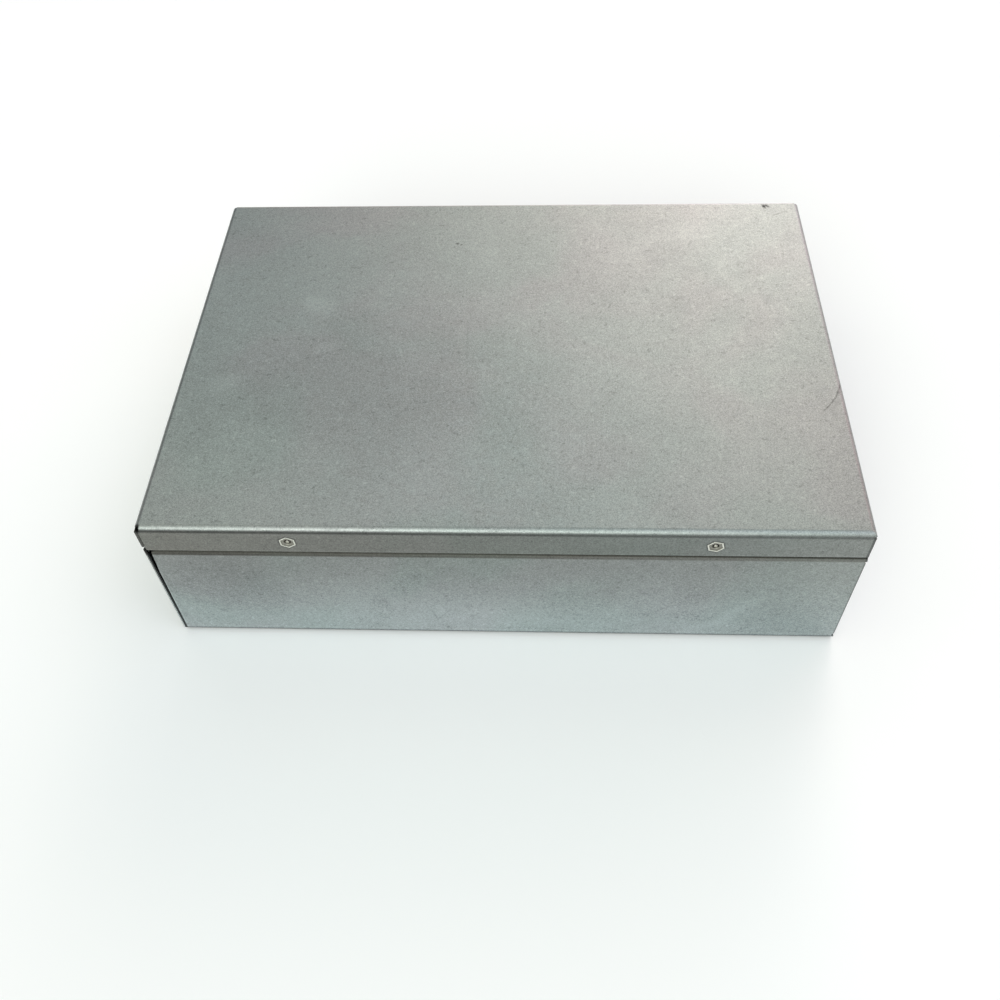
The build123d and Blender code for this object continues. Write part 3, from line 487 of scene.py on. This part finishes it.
cam_data.clip_start, cam_data.clip_end = 0.01, 50
S.camera = cam

# ------------------------------------------------------------ floor and lights
me = bpy.data.meshes.new("floor")
me.from_pydata([(-9, -9, 0), (9, -9, 0), (9, 9, 0), (-9, 9, 0)], [], [(0, 1, 2, 3)])
floor = bpy.data.objects.new("floor", me)
S.collection.objects.link(floor)
floor.location.z = -0.0004
fg = Graph("floor_pale")
fg.principled(Base_Color=(0.94, 0.94, 0.94), Roughness=0.75)
me.materials.append(fg.mat)


# soft studio surroundings: a few broad glows, (azimuth from +Y towards +X,
# elevation, tightness, colour), over a faint even fill
GLOWS = (
    (30, 8, 12, (0.566, 0.596, 0.664)), (120, 35, 12, (0.09, 0.10, 0.24)), (130, 60, 12, (1.500, 1.640, 1.750)),
    (193, 30, 14, (4.350, 4.600, 4.350)), (225, 60, 12, (0.500, 0.520, 0.400)), (-90, 45, 12, (0.85, 0.86, 0.84)),
    (90, 45, 12, (0.70, 0.70, 0.70)), (-35, 56, 40, (0.72, 0.76, 0.66)), (-4, 64, 40, (0.26, 0.27, 0.24)),
    (27, 56, 40, (0.60, 0.60, 0.52)), (0, 20, 40, (1.190, 0.907, 0.638)),
    (15, 20, 40, (6.500, 5.450, 5.750)), (30, 20, 40, (0.0, 0.0, 0.325)), (45, 20, 40, (2.135, 1.439, 1.260)),
    (-30, 35, 40, (0.225, 0.202, 0.459)), (15, 35, 40, (1.533, 1.471, 0.824)), (-30, 50, 40, (0.700, 0.790, 0.520)),
    (0, 50, 40, (0.0, 0.224, 0.556)),
)
FILL = (0.03, 0.03, 0.03)
w = bpy.data.worlds.new("world")
S.world = w
w.use_nodes = True
wn = w.node_tree
wn.nodes.clear()
w_out, w_bg = wn.nodes.new("ShaderNodeOutputWorld"), wn.nodes.new("ShaderNodeBackground")
wn.links.new(w_bg.outputs[0], w_out.inputs[0])
w_dir = wn.nodes.new("ShaderNodeTexCoord").outputs["Generated"]
total = None
for az, e_, k_, rgb in GLOWS:
    a_, b_ = math.radians(az), math.radians(e_)
    dot = wn.nodes.new("ShaderNodeVectorMath")
    dot.operation = "DOT_PRODUCT"
    wn.links.new(w_dir, dot.inputs[0])
    dot.inputs[1].default_value = (math.sin(a_) * math.cos(b_), math.cos(a_) * math.cos(b_), math.sin(b_))
    ma = wn.nodes.new("ShaderNodeMath")
    ma.operation = "MULTIPLY_ADD"
    wn.links.new(dot.outputs["Value"], ma.inputs[0])
    ma.inputs[1].default_value, ma.inputs[2].default_value = k_, -k_
    ex = wn.nodes.new("ShaderNodeMath")
    ex.operation = "EXPONENT"
    wn.links.new(ma.outputs[0], ex.inputs[0])
    sc = wn.nodes.new("ShaderNodeVectorMath")
    sc.operation = "SCALE"
    sc.inputs[0].default_value = rgb
    wn.links.new(ex.outputs[0], sc.inputs["Scale"])
    add = wn.nodes.new("ShaderNodeVectorMath")
    add.operation = "ADD"
    wn.links.new(sc.outputs[0], add.inputs[0])
    if total is None:
        add.inputs[1].default_value = FILL
    else:
        wn.links.new(total, add.inputs[1])
    total = add.outputs[0]
wn.links.new(total, w_bg.inputs[0])
w_bg.inputs[1].default_value = 1.0

S.view_settings.view_transform = "Standard"
S.view_settings.look = "None"
